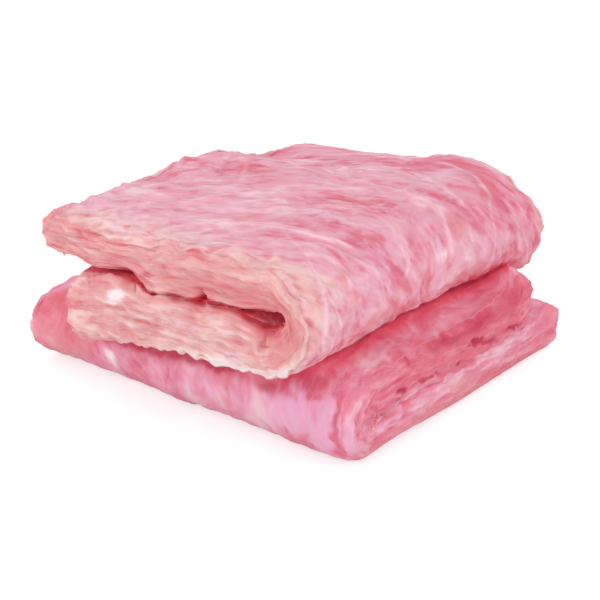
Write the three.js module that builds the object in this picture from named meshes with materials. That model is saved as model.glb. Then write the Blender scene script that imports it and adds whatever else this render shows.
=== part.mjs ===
// Two batts of unfaced glass wool insulation, each folded in half and laid
// crosswise, one on the other. Millimetres, +Z up, standing on Z = 0.
// The lower batt's fold faces -Y, the upper batt's fold faces +X.

import * as THREE from 'three';
import { mergeVertices } from 'three/addons/utils/BufferGeometryUtils.js';

// The blanket that both batts are cut from.
const battWidth = 406;
const freeLayer = 51;
const pressedLayer = 44;
const edgeRound = 9;
const endRound = 9;
const raggedDepth = 2.5;

// The lower batt. Legs are measured from the fold face to the cut end.
const lowerBottomLeg = 369;
const lowerTopLeg = 330;
const lowerFoldGap = 2;
const lowerEndSwell = 9;
const lowerEndSwellLength = 50;
const farSlump = 13;
const farSlumpLength = 100;
const nearSlump = 5;
const nearSlumpLength = 60;

// The upper batt.
const upperBottomLeg = 289;
const upperTopLeg = 310;
const upperFoldGap = 4;
const upperSplitRise = 9;
const foldStretch = 27;
const pocketHeight = 9;
const pocketLength = 45;
const mouthFlare = 12;
const mouthLength = 70;
const topEndSkew = -5;
const bottomEndSkew = 8;
const crown = 3;
const backTaper = 16;
const backTaperLength = 300;
const backCornerTrim = 11;
const backCornerLength = 70;

// How the upper batt lies on the lower one.
const seatClearance = 0.5;
const frontOverhang = 42;
const foldSetback = 18;
const backFall = 27;
const backFallLength = 250;
const fallTilt = 0.5;
const frontCornerFall = 12;
const frontCornerLength = 90;

// Mesh steps: across the batt, through its thickness, along its legs and fold.
const stepsAcross = 20;
const stepsThrough = 4;
const stepsAlongLeg = 14;
const stepsRoundFold = 14;

const alongSteps = 2 * stepsAlongLeg + stepsRoundFold;
const legShare = stepsAlongLeg / alongSteps;
const halfWidth = battWidth / 2;

function smooth(value) {
  const t = Math.min(1, Math.max(0, value));
  return t * t * (3 - 2 * t);
}

// Rows crowd toward the edges, so that edges round off finely.
function toEdges(value) {
  return Math.sin(value * Math.PI / 2);
}

// A strip bent into a U. Along it, 0 is the cut end of the bottom leg and 1
// the cut end of the top leg; depth is 0 on the inner face and 1 outside.
// Gives the distance behind the fold face and the height of a point.
function foldProfile(strip, along, depth) {
  const foldRadius = strip.layer + strip.gap / 2;
  const radius = strip.gap / 2 + depth * strip.layer;
  if (along <= legShare) {
    const back = (1 - along / legShare) * (strip.bottomLeg - foldRadius);
    return { leg: 'bottom', back: foldRadius + back, height: foldRadius - radius, side: -1 };
  }
  if (along >= 1 - legShare) {
    const back = ((along - 1) / legShare + 1) * (strip.topLeg - foldRadius);
    return { leg: 'top', back: foldRadius + back, height: foldRadius + radius, side: 1 };
  }
  const turn = Math.PI * (along - legShare) / (1 - 2 * legShare);
  return {
    leg: 'fold',
    back: foldRadius - radius * Math.sin(turn),
    height: foldRadius - radius * Math.cos(turn),
    side: -Math.cos(turn),
  };
}

// How far the seat between the batts falls toward the back edge, where the
// upper batt reaches past the cut end of the lower one's top leg.
function seatFall(x, y) {
  const start = lowerTopLeg - backFallLength / 2;
  return backFall * (1 - fallTilt * x / halfWidth) * smooth((y - start) / backFallLength);
}

// A flat blanket, bent by its strip's profile and laid by the place function.
function makeBatt(strip, place) {
  const blank = new THREE.BoxGeometry(2, 2, 1, stepsAcross, stepsThrough, alongSteps);
  const position = blank.attributes.position;
  const corner = new THREE.Vector3();
  for (let i = 0; i < position.count; i += 1) {
    corner.fromBufferAttribute(position, i);
    const sideways = toEdges(corner.x);
    const through = toEdges(corner.y);
    const along = 0.5 - corner.z;
    const depth = (through + 1) / 2;
    const profile = foldProfile(strip, along, depth);
    const rounding = Math.pow(through, 4);
    const edge = Math.pow(sideways, 8);
    const ragged = raggedDepth * Math.sin(9 * along + 3 * sideways + strip.phase)
      * Math.sin(23 * along + strip.phase);
    const endWave = raggedDepth * Math.sin(7 * sideways + strip.phase);
    const isEnd = Math.abs(corner.z) > 0.4999;
    const laid = place({
      leg: profile.leg,
      side: profile.side,
      inner: 1 - depth,
      sideways,
      edge,
      across: sideways * (halfWidth - edgeRound * rounding + ragged * edge),
      back: profile.back - (isEnd ? endRound * rounding + endWave : 0),
      height: profile.height,
    });
    position.setXYZ(i, laid.x, laid.y, laid.z);
  }
  blank.deleteAttribute('normal');
  blank.deleteAttribute('uv');
  const geometry = mergeVertices(blank, 1e-4);
  geometry.computeVertexNormals();
  return geometry;
}

const lowerStrip = {
  layer: pressedLayer,
  gap: lowerFoldGap,
  bottomLeg: lowerBottomLeg,
  topLeg: lowerTopLeg,
  phase: 0.4,
};
const lowerHeight = 2 * lowerStrip.layer + lowerStrip.gap;

const upperStrip = {
  layer: freeLayer,
  gap: upperFoldGap,
  bottomLeg: upperBottomLeg,
  topLeg: upperTopLeg,
  phase: 2.1,
};
const upperHeight = 2 * upperStrip.layer + upperStrip.gap;
const upperFoldRadius = upperHeight / 2;

// The lower batt lies flat. The upper one presses it down at the back, its
// far side slumps, and its uncovered bottom end swells.
function placeLower(point) {
  const { across, back } = point;
  const share = point.height / lowerHeight;
  const covered = 1 - smooth((across - halfWidth + nearSlumpLength / 2) * 2 / nearSlumpLength);
  const press = seatFall(across, back) * share * share * covered;
  const slump = farSlump * smooth(1 - (halfWidth + across) / farSlumpLength)
    + nearSlump * smooth(1 - (halfWidth - across) / nearSlumpLength);
  let swell = 0;
  if (point.leg === 'bottom') {
    const past = smooth((back - lowerTopLeg + 12) / lowerEndSwellLength);
    swell = lowerEndSwell * past * point.height / pressedLayer;
  }
  return { x: across, y: back, z: point.height - press - slump * share + swell };
}

// The upper batt rests on the lower one. Its split line lies above the middle
// and opens into a pocket at the fold and a mouth at the cut ends. Its back
// edge hangs down and thins, and its front corner sinks over the lower fold.
function placeUpper(point) {
  const skew = point.leg === 'top' ? topEndSkew : bottomEndSkew;
  const legPart = point.leg === 'fold' ? 0 : (point.back - upperFoldRadius) / upperTopLeg;
  const stretch = point.leg === 'fold' ? foldStretch * point.inner
    * Math.sqrt(1 - point.side * point.side) : 0;
  const back = point.back - stretch + skew * point.sideways * legPart;
  const pocket = pocketHeight / 2 * point.side * point.inner
    * smooth(1 - (back - upperFoldRadius + foldStretch) / pocketLength);
  const flare = point.leg === 'top' ? mouthFlare * point.inner
    * smooth((back - upperTopLeg + mouthLength) / mouthLength) : 0;
  const height = point.height + upperSplitRise * point.inner + pocket + flare;
  const trim = point.sideways > 0
    ? backCornerTrim * point.edge * smooth(1 - back / backCornerLength) : 0;
  const fromFront = halfWidth + point.across - trim;
  const x = halfWidth - foldSetback - back;
  const y = fromFront - frontOverhang;
  const share = height / upperHeight;
  const openness = smooth(1.25 * back / upperTopLeg - 0.45);
  const corner = frontCornerFall * smooth(1 - fromFront / frontCornerLength) * openness;
  const puff = crown * share * (1 - Math.pow(point.across / halfWidth, 2));
  const thinner = backTaper * share * (0.5 - x / battWidth)
    * smooth((fromFront - battWidth + backTaperLength) / backTaperLength);
  const seat = lowerHeight + seatClearance - seatFall(x, y) - corner;
  return { x, y, z: seat + height + puff - thinner };
}

const lowerWool = new THREE.MeshStandardMaterial({
  name: 'glass_wool_rose',
  color: 0xe1909f,
  roughness: 0.95,
  metalness: 0,
});
const upperWool = new THREE.MeshStandardMaterial({
  name: 'glass_wool_pink',
  color: 0xe7a8b4,
  roughness: 0.95,
  metalness: 0,
});

const lowerBatt = new THREE.Mesh(makeBatt(lowerStrip, placeLower), lowerWool);
lowerBatt.name = 'lower_batt';

const upperBatt = new THREE.Mesh(makeBatt(upperStrip, placeUpper), upperWool);
upperBatt.name = 'upper_batt';

const stack = new THREE.Group();
stack.name = 'folded_insulation_batts';
stack.add(lowerBatt, upperBatt);

// The origin is at the middle of the stack's footprint, on the surface.
const box = new THREE.Box3().setFromObject(stack);
const middle = box.getCenter(new THREE.Vector3());
lowerBatt.position.set(-middle.x, -middle.y, -box.min.z);
upperBatt.position.set(-middle.x, -middle.y, -box.min.z);

export default stack;
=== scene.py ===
# Two pink glass wool batts, each folded in half, laid crosswise one on the other.
# Lengths inside the shape functions are millimetres; what reaches Blender is metres.
import math

import bpy
import numpy as np
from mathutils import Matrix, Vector
from mathutils.bvhtree import BVHTree
from mathutils.kdtree import KDTree


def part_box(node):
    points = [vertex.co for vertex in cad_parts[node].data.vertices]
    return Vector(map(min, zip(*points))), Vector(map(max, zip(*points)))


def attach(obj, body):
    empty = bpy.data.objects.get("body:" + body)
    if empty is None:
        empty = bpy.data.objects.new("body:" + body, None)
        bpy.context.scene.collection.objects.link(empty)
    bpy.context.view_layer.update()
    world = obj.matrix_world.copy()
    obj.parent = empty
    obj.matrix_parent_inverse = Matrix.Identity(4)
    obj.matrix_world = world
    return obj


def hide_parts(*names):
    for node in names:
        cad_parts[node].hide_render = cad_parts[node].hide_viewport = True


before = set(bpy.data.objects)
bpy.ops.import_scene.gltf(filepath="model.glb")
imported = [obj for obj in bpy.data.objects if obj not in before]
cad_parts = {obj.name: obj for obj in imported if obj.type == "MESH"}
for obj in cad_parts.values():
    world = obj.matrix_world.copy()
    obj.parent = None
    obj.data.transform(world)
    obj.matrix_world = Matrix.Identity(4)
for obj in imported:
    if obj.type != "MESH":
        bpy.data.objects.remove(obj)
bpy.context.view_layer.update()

print("frame loaded:", list(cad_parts))

# Smooth noise, the same on every run. Each octave is finer by growth, on a seed of its own.
noise = {"seed": 71, "cells": 256, "height": 1.7, "growth": 2.03, "seedStep": 37, "octaveStep": 5}
noiseDice = np.random.default_rng(noise["seed"])
shuffle = np.concatenate([noiseDice.permutation(noise["cells"])] * 3)
slopes = noiseDice.normal(size=(noise["cells"], 3))
slopes /= np.linalg.norm(slopes, axis=1, keepdims=True)


def wave(x, y, z=0.0, seed=0):
    # about -1 to 1, one cell for each unit
    x, y, z = np.broadcast_arrays(np.asarray(x, float), np.asarray(y, float), np.asarray(z, float))
    cell = [np.floor(v).astype(int) for v in (x, y, z)]
    part = [v - c for v, c in zip((x, y, z), cell)]
    ease = [p * p * p * (p * (p * 6 - 15) + 10) for p in part]
    lastCell = noise["cells"] - 1
    total = np.zeros(x.shape)
    for i in (0, 1):
        hashX = shuffle[(cell[0] + i + seed * noise["seedStep"]) & lastCell]
        for j in (0, 1):
            hashY = shuffle[(hashX + cell[1] + j) & lastCell]
            for k in (0, 1):
                slope = slopes[shuffle[(hashY + cell[2] + k) & lastCell]]
                dot = sum((part[axis] - step) * slope[..., axis] for axis, step in enumerate((i, j, k)))
                weight = (ease[0] if i else 1 - ease[0]) * (ease[1] if j else 1 - ease[1])
                total += weight * (ease[2] if k else 1 - ease[2]) * dot
    return total * noise["height"]


def cloud(x, y, z=0.0, seed=0, octaves=1):
    total, size, weight = 0, 1.0, 1.0
    for octave in range(octaves):
        total = total + weight * wave(x * size, y * size, z * size, seed + octave * noise["octaveStep"])
        size, weight = size * noise["growth"], weight / 2
    return total


def ripples(rows, u, v, seed=0):
    # noise laid over itself; each row: height, length both ways in mm, level, seed step, octaves if not 1
    return sum(height * cloud(u / longU, v / longV, level, seed + step, *octaves)
               for height, longU, longV, level, step, *octaves in rows)


def smooth(value):
    t = np.clip(value, 0, 1)
    return t * t * (3 - 2 * t)


def between(value, start, rise, end, fall):
    # up from 0 at start over rise, and back down over fall to 0 at end
    return smooth((value - start) / rise) * smooth((end - value) / fall)


def threads(value, narrow):
    # 1 along the lines where noise crosses zero
    return smooth(1 - narrow * np.abs(value)) ** 2


def spot(u, v, centreU, centreV, reachU, reachV, turn=0.0):
    # 1 at the centre of an ellipse, falling off softly round it
    c, s = math.cos(math.radians(turn)), math.sin(math.radians(turn))
    p, q = u - centreU, v - centreV
    return np.exp(-((p * c + q * s) / reachU) ** 2 - ((q * c - p * s) / reachV) ** 2)


def unit(vectors):
    return vectors / np.maximum(np.linalg.norm(vectors, axis=-1, keepdims=True), 1e-9)


# How the two batts are cut and folded. Places on a batt are given by length along the outer
# face from the bottom leg's cut end, wide from the middle line, and thick from the inner face.
stock = {"width": 406, "edgeRound": 9, "endRound": 9, "endZone": 0.018}

# Pushes, by the part of the thickness that goes with them: length and wide, the reach both ways, and
# how far along x, y and z.
lowerFold = {
    "layer": 44, "gap": 2, "bottomLeg": 369, "topLeg": 330,
    "endSwell": 9, "endSwellLength": 50, "endSwellLead": 12,
    "farSlump": 13, "farSlumpLength": 100, "nearSlump": 5, "nearSlumpLength": 60,
    "pushes": {
        "whole": [(362, -150, 36, 90, 0, 5, 3), (352, 160, 34, 55, 0, -4, -2),
                  (742, 206, 28, 30, 0, -15.5, 1), (0, 206, 34, 44, 1.5, 1.5, 0),
                  (400, -203, 80, 30, -2.5, 0, 0), (410, -203, 60, 60, 3, 0, 0)],
        "outer": [(300, 203, 70, 16, -1, 0, 5), (735, 192, 50, 24, 0, 0, 18), (0, 150, 30, 90, 0, -2, -3),
                  (348, 0, 34, 600, 0, 1.6, 0), (448, -203, 30, 34, 0, 0, -3),
                  (338, 203, 22, 22, -1, -4, -2), (738, 160, 30, 34, 0, 0, 7)],
        "inner": [(8, 190, 30, 40, 0, 0, -1)],
    },
}

upperFold = {
    "layer": 51, "gap": 4, "bottomLeg": 289, "topLeg": 310,
    "splitRise": 9, "foldStretch": 27, "pocketHeight": 9, "pocketLength": 45,
    "mouthFlare": 12, "mouthLength": 70, "topEndSkew": -5, "bottomEndSkew": 8,
    "crown": 3, "backTaper": 16, "backTaperLength": 300, "backCornerTrim": 11, "backCornerLength": 70,
    "clearance": 0.5, "overhang": 42, "setback": 18,
    "backFall": 27, "backFallLength": 250, "fallTilt": 0.5,
    "frontCornerFall": 12, "frontCornerLength": 90, "cornerFallFrom": 0.36, "cornerFallEase": 0.8,
    "pushes": {
        "whole": [(645, -105, 60, 62, 0, 0, -6.5), (632, 98, 60, 48, 0, 0, -10),
                  (440, 182, 48, 48, 0, 0, 10), (368, 208, 26, 40, -2, 0, -8),
                  (288, 205, 42, 44, 7, 0, -8), (640, 92, 40, 34, 0, 0, -3.5)],
        "outer": [(659, -203, 34, 60, 5, 0, 3), (612, 97, 30, 22, 0, 0, -8), (650, -190, 26, 26, 3, 0, 3),
                  (637, -59, 22, 15, 0, 0, -8), (615, 34, 26, 22, 0, 0, 5), (645, -9, 18, 12, 0, 0, 2.5),
                  (478, 206, 26, 26, 0, 0, -2), (378, 190, 18, 24, -2, 0, -3), (650, 60, 24, 30, 0, 0, 2),
                  (334, 203, 26, 36, 6, 0, 0), (664, -203, 11, 30, 0, 0, 10),
                  (642, 138, 24, 18, 0, 0, -7), (656, -38, 20, 16, 0, 0, -5),
                  (405, 194, 26, 20, 0, 0, -4), (362, 203, 28, 30, 8, 0, 1),
                  (20, -203, 90, 26, 0, 0, -11), (0, -203, 50, 26, -2, 0, -4)],
        "inner": [(659, -203, 40, 60, 16, 0, 1), (0, -190, 30, 60, 9, 0, -1),
                  (533, -203, 26, 55, 0, 0, -10), (104, -203, 24, 55, 0, 0, -8),
                  (576, -203, 16, 50, 0, 0, 3), (60, -203, 22, 50, 0, 0, 1.5),
                  (497, -203, 20, 50, 0, 0, -4), (141, -203, 20, 50, 0, 0, -4),
                  (474, -203, 18, 45, 0, 0, -3.5), (166, -203, 18, 45, 0, 0, -3.5),
                  (244, -203, 24, 36, 0, 0, -6), (378, -203, 34, 40, 8, 0, 2),
                  (656, -203, 20, 50, -3, 0, -4), (616, -203, 22, 50, 0, 0, 3)],
    },
}

legShare = 1 / 3    # what each leg and the fold take of the way from one cut end to the other
halfWidth = stock["width"] / 2
lowerHeight = 2 * lowerFold["layer"] + lowerFold["gap"]
upperHeight = 2 * upperFold["layer"] + upperFold["gap"]
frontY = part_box("lower_batt")[0][1] * 1000    # the lower fold's face
middleX = (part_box("lower_batt")[0][0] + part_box("lower_batt")[1][0]) * 500
folds = {"lower": lowerFold, "upper": upperFold}


def stretches(batt):
    # the bottom leg, the fold and the top leg, measured on the outer face
    fold = folds[batt]
    centre = fold["layer"] + fold["gap"] / 2
    return fold["bottomLeg"] - centre, math.pi * centre, fold["topLeg"] - centre


def wholeLength(batt):
    return sum(stretches(batt))


def alongToLength(batt, along):
    return np.interp(along, [0, legShare, 1 - legShare, 1], np.cumsum([0, *stretches(batt)]))


def lengthToAlong(batt, length):
    return np.interp(length, np.cumsum([0, *stretches(batt)]), [0, legShare, 1 - legShare, 1])


def toSide(wide):
    return halfWidth - np.abs(wide)


def toEnd(batt, length):
    return np.minimum(length, wholeLength(batt) - length)


def foldProfile(fold, along, depth, out):
    # distance behind the fold's face, height, leg (-1, 0 or 1) and side of the split
    centre = fold["layer"] + fold["gap"] / 2
    radius = fold["gap"] / 2 + depth * fold["layer"] + out
    bottom, top = along <= legShare, along >= 1 - legShare
    turn = np.pi * np.clip((along - legShare) / (1 - 2 * legShare), 0, 1)
    back = centre - radius * np.sin(turn)
    back = np.where(bottom, centre + (1 - along / legShare) * (fold["bottomLeg"] - centre), back)
    back = np.where(top, centre + ((along - 1) / legShare + 1) * (fold["topLeg"] - centre), back)
    height = centre - radius * np.cos(turn)
    return back, height, np.where(bottom, -1, np.where(top, 1, 0)), -np.cos(turn)


def seatFall(x, y):
    # how far the seat between the batts falls toward the back
    start = lowerFold["topLeg"] - upperFold["backFallLength"] / 2
    tilt = 1 - upperFold["fallTilt"] * x / halfWidth
    return upperFold["backFall"] * tilt * smooth((y - start) / upperFold["backFallLength"])


# The split between a batt's legs. They press into it from pressed to pressedTo, measured behind the
# fold's face, the lower ones only beside their cut sides. Loose wool fills the groove between the
# two cut faces by a share, more on the side that faces the camera.
splits = {
    "lower": {"pressed": 26, "pressedEase": 25, "pressedTo": 336, "pressedToEase": 14, "press": 1.9,
              "uneven": [(0.5, 21, 40, 0.4, 8)], "sideFrom": 140, "sideEase": 40,
              "filledRight": 0.9, "filledLeft": 0.5, "filledTo": 345, "filledToEase": 20},
    "upper": {"pressed": 62, "pressedEase": 22, "pressedTo": 200, "pressedToEase": 13, "press": 1.75,
              "uneven": [(0.35, 17, 40, 0.2, 9)],
              "filledRight": 0.4, "filledLeft": 0.62, "filledTo": 206, "filledToEase": 18,
              "filledFrom": 40, "filledFromEase": 30},
}


def squeeze(batt, back, wide, leg, inner):
    # how far each leg presses into the split
    gap = splits[batt]
    held = between(back, gap["pressed"], gap["pressedEase"], gap["pressedTo"], gap["pressedToEase"])
    if "sideFrom" in gap:
        held = held * smooth((np.abs(wide) - gap["sideFrom"]) / gap["sideEase"])
    return leg * inner ** 3 * (gap["press"] * held * (0.9 + ripples(gap["uneven"], back, wide)))


def filled(batt, back, wide):
    # how much of the groove between the legs' cut faces the loose wool fills
    gap = splits[batt]
    share = np.where(wide > 0, gap["filledRight"], gap["filledLeft"])
    if "filledFrom" in gap:
        share = share * smooth((back - gap["filledFrom"]) / gap["filledFromEase"])
    return share * smooth((gap["filledTo"] - back) / gap["filledToEase"])


def layLower(across, sideways, back, height, leg, side, inner):
    # flat on the floor, pressed down by the upper batt at the back, slumped at both sides
    fold = lowerFold
    share = height / lowerHeight
    nearLength = fold["nearSlumpLength"]
    covered = 1 - smooth((across - halfWidth + nearLength / 2) * 2 / nearLength)
    press = seatFall(across, back) * share * share * covered
    slump = fold["farSlump"] * smooth(1 - (halfWidth + across) / fold["farSlumpLength"]) \
        + fold["nearSlump"] * smooth(1 - (halfWidth - across) / nearLength)
    past = smooth((back - fold["topLeg"] + fold["endSwellLead"]) / fold["endSwellLength"])
    swell = np.where(leg < 0, fold["endSwell"] * past * height / fold["layer"], 0)
    pressed = squeeze("lower", back, sideways * halfWidth, leg, inner)
    return across, back, height - press - slump * share + swell - pressed


def layUpper(across, sideways, back, height, leg, side, inner):
    # across the lower batt, its split opened at the fold and at the cut ends, its back hanging down
    fold = upperFold
    centre = upperHeight / 2
    skew = np.where(leg > 0, fold["topEndSkew"], fold["bottomEndSkew"])
    legPart = np.where(leg == 0, 0, (back - centre) / fold["topLeg"])
    stretch = fold["foldStretch"] * inner * np.sqrt(np.clip(1 - side * side, 0, 1))
    back = back - np.where(leg == 0, stretch, 0) + skew * sideways * legPart
    pocket = fold["pocketHeight"] / 2 * side * inner \
        * smooth(1 - (back - centre + fold["foldStretch"]) / fold["pocketLength"])
    nearMouth = smooth((back - fold["topLeg"] + fold["mouthLength"]) / fold["mouthLength"])
    flare = fold["mouthFlare"] * inner * nearMouth
    height = height + fold["splitRise"] * inner + pocket + np.where(leg > 0, flare, 0) \
        - squeeze("upper", back, sideways * halfWidth, leg, inner)
    trim = fold["backCornerTrim"] * sideways ** 8 * smooth(1 - back / fold["backCornerLength"])
    fromFront = halfWidth + across - np.where(sideways > 0, trim, 0)
    x = halfWidth - fold["setback"] - back
    y = fromFront - fold["overhang"]
    share = height / upperHeight
    openness = smooth((back / fold["topLeg"] - fold["cornerFallFrom"]) / fold["cornerFallEase"])
    corner = fold["frontCornerFall"] * smooth(1 - fromFront / fold["frontCornerLength"]) * openness
    puff = fold["crown"] * share * (1 - (across / halfWidth) ** 2)
    thinner = fold["backTaper"] * share * (0.5 - x / stock["width"]) \
        * smooth((fromFront - stock["width"] + fold["backTaperLength"]) / fold["backTaperLength"])
    seat = lowerHeight + fold["clearance"] - seatFall(x, y) - corner
    return x, y, seat + height + puff - thinner


def lay(batt, along, sideways, depth, out=0.0, aside=0.0, endwise=0.0):
    # where a point of the flat blanket lies once it is folded, in metres; along runs 0 to 1 between
    # the cut ends, sideways -1 to 1, depth 0 inside to 1 outside; the rest moves it off the surface
    fold = folds[batt]
    length, wide = alongToLength(batt, along), sideways * halfWidth
    through, inner = 2 * depth - 1, 1 - depth
    rounding = through ** 4
    atEnd = smooth(1 - np.minimum(along, 1 - along) / stock["endZone"])
    back, height, leg, side = foldProfile(fold, along, depth, out)
    unfilled = np.where(through < 0, 1 - filled(batt, back, wide), 1)
    across = sideways * (halfWidth - stock["edgeRound"] * rounding * unfilled) + aside
    back = back - stock["endRound"] * rounding * atEnd + endwise
    layDown = layLower if batt == "lower" else layUpper
    x, y, z = layDown(across, sideways, back, height, leg, side, inner)
    for part, goesWith in (("whole", 1), ("outer", depth ** 2), ("inner", inner ** 2)):
        for atLength, atWide, reachL, reachW, pushX, pushY, pushZ in fold["pushes"][part]:
            weight = spot(length, wide, atLength, atWide, reachL, reachW) * goesWith
            x, y, z = x + pushX * weight, y + pushY * weight, z + pushZ * weight
    return np.stack(np.broadcast_arrays(x + middleX, y + frontY, np.maximum(z, 0)), -1) / 1000


# What the wool looks like. Marks and pits: the place, the reach both ways, the strength or the depth
# in mm, and the turn in degrees where there is one. On a skin a place is length and wide, on a cut
# side length and thick. Lean: lengths, and how far across the streaks drift there for each mm.
lowerWool = {
    "seed": 100, "visibleSide": 1, "calm": 0.7, "cutBack": 1.3,
    "lean": [(0, -0.2), (380, -0.3), (460, 0), (800, 0)],
    "skinMarks": {
        "violet": [(402, 165, 17, 34, 1.0), (416, 183, 12, 8, 0.8), (385, -88, 9, 14, 0.7),
                   (380, 178, 34, 10, 0.8), (393, 39, 10, 34, 0.5), (390, 130, 19, 60, 1.0)],
        "rose": [(423, 60, 9, 150, 0.6), (394, 197, 32, 5, 1.6), (374, 136, 12, 14, 0.8),
                 (352, 150, 14, 40, 0.5), (428, 152, 14, 24, 1.0), (439, -179, 14, 20, 0.6),
                 (401, -93, 10, 14, 0.8), (392, -51, 17, 12, 0.6, 24), (600, 190, 170, 34, 0.4),
                 (411, -185, 16, 20, 0.3)],
        "pale": [(546, 177, 12, 9, 0.5, -40), (483, 192, 26, 5, 0.9, -17), (562, 180, 22, 6, 0.5),
                 (395, 178, 5, 12, 0.8), (384, 118, 22, 60, 0.7), (380, 45, 34, 60, 0.45),
                 (384, -90, 20, 14, 0.7), (395, -170, 24, 24, 0.3), (418, -178, 18, 26, 0.4),
                 (370, -14, 9, 13, 0.9), (373, 96, 8, 12, 0.9), (376, 30, 9, 12, 0.8),
                 (604, 168, 30, 8, 1.0), (556, 165, 14, 8, 0.8)],
        "salmon": [(372, -190, 34, 44, 1.1), (392, -140, 30, 34, 0.8), (425, -180, 26, 34, 0.5),
                   (438, -180, 12, 22, 0.8)],
        "white": [(385, -89, 16, 7, 1.0)],
        "cream": [(382, 107, 32, 8, 0.8)],
        # deep: painted shade and shadow, under the upper batt's overhanging lip, near the fold's ends and
        # where the upper batt sits on the lower one
        "deep": [(410, -74, 5.5, 26, 1.1), (413, -30, 8, 34, 1.1), (415.5, 22, 6, 34, 1.0),
                 (417, 60, 6, 18, 0.9), (413, 116, 7, 20, 1.1), (431, 138, 10, 30, 0.8),
                 (403, 197, 26, 4, 0.75), (440, -184, 9, 18, 0.35), (528, 170, 7, 6, 0.6),
                 (494, 164, 24, 12, 0.35, -20), (687, 171, 30, 14, 0.35), (519, 198, 6, 5, 0.5)],
    },
    "cutMarks": {
        "pale": [(280, 11, 50, 7, 0.9), (274, 5, 14, 4, 0.8), (162, 1, 10, 4, 0.7), (115, 5, 26, 6, 0.8),
                 (199, 9, 20, 5, 0.7), (561, 28, 26, 6, 0.35, -8), (400, 38, 36, 6, 0.9)],
        "violet": [(384, 38, 34, 9, 0.9), (300, 12, 36, 6, 0.7)],
        "rose": [(680, 22, 70, 30, 0.9), (600, 30, 130, 26, 0.9), (723, 36, 16, 12, 0.9),
                 (460, 14, 50, 16, 0.7), (680, 10, 60, 10, 0.8), (394, 39, 10, 6, 0.8)],
        "salmon": [(180, 36, 180, 11, 1.2), (21, 12, 16, 20, 0.6), (191, 17, 16, 6, 0.9)],
        # deep: painted shade in the pits, along the split between the legs and in a band just under the top
        # leg's upper edge
        "deep": [(575, 36, 30, 8, 0.85, -6), (636, 37, 34, 9, 0.9), (704, 34, 30, 10, 0.6),
                 (628, 17, 8, 4, 1.9, -23), (650, 11, 18, 3, 1.1, -18), (599, 6, 8, 3.4, 0.9),
                 (562, 9, 6, 3, 1.2, -20), (546, 10, 7, 3, 1.1, -20), (506, 11, 10, 4, 1.1, -20),
                 (465, 5, 14, 3, 0.6), (703, 9, 26, 3, 1.1, -10), (183, 24, 16, 4, 0.4),
                 (519, 39, 9, 5, 0.9)],
    },
    "pits": [(628, 17, 6, 2.8, 4, -23), (648, 12, 12, 2, 2.5, -18), (546, 10, 6, 2, 2.5, -20),
             (562, 9, 6, 2.4, 3, -20), (599, 6, 7, 2.4, 2.5), (506, 11, 8, 3, 2.5, -20),
             (703, 9, 22, 2, 3, -10), (273, 2, 16, 3, 4), (175, 1, 16, 3, 4), (330, 20, 30, 2, 2, 4)],
}

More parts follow.
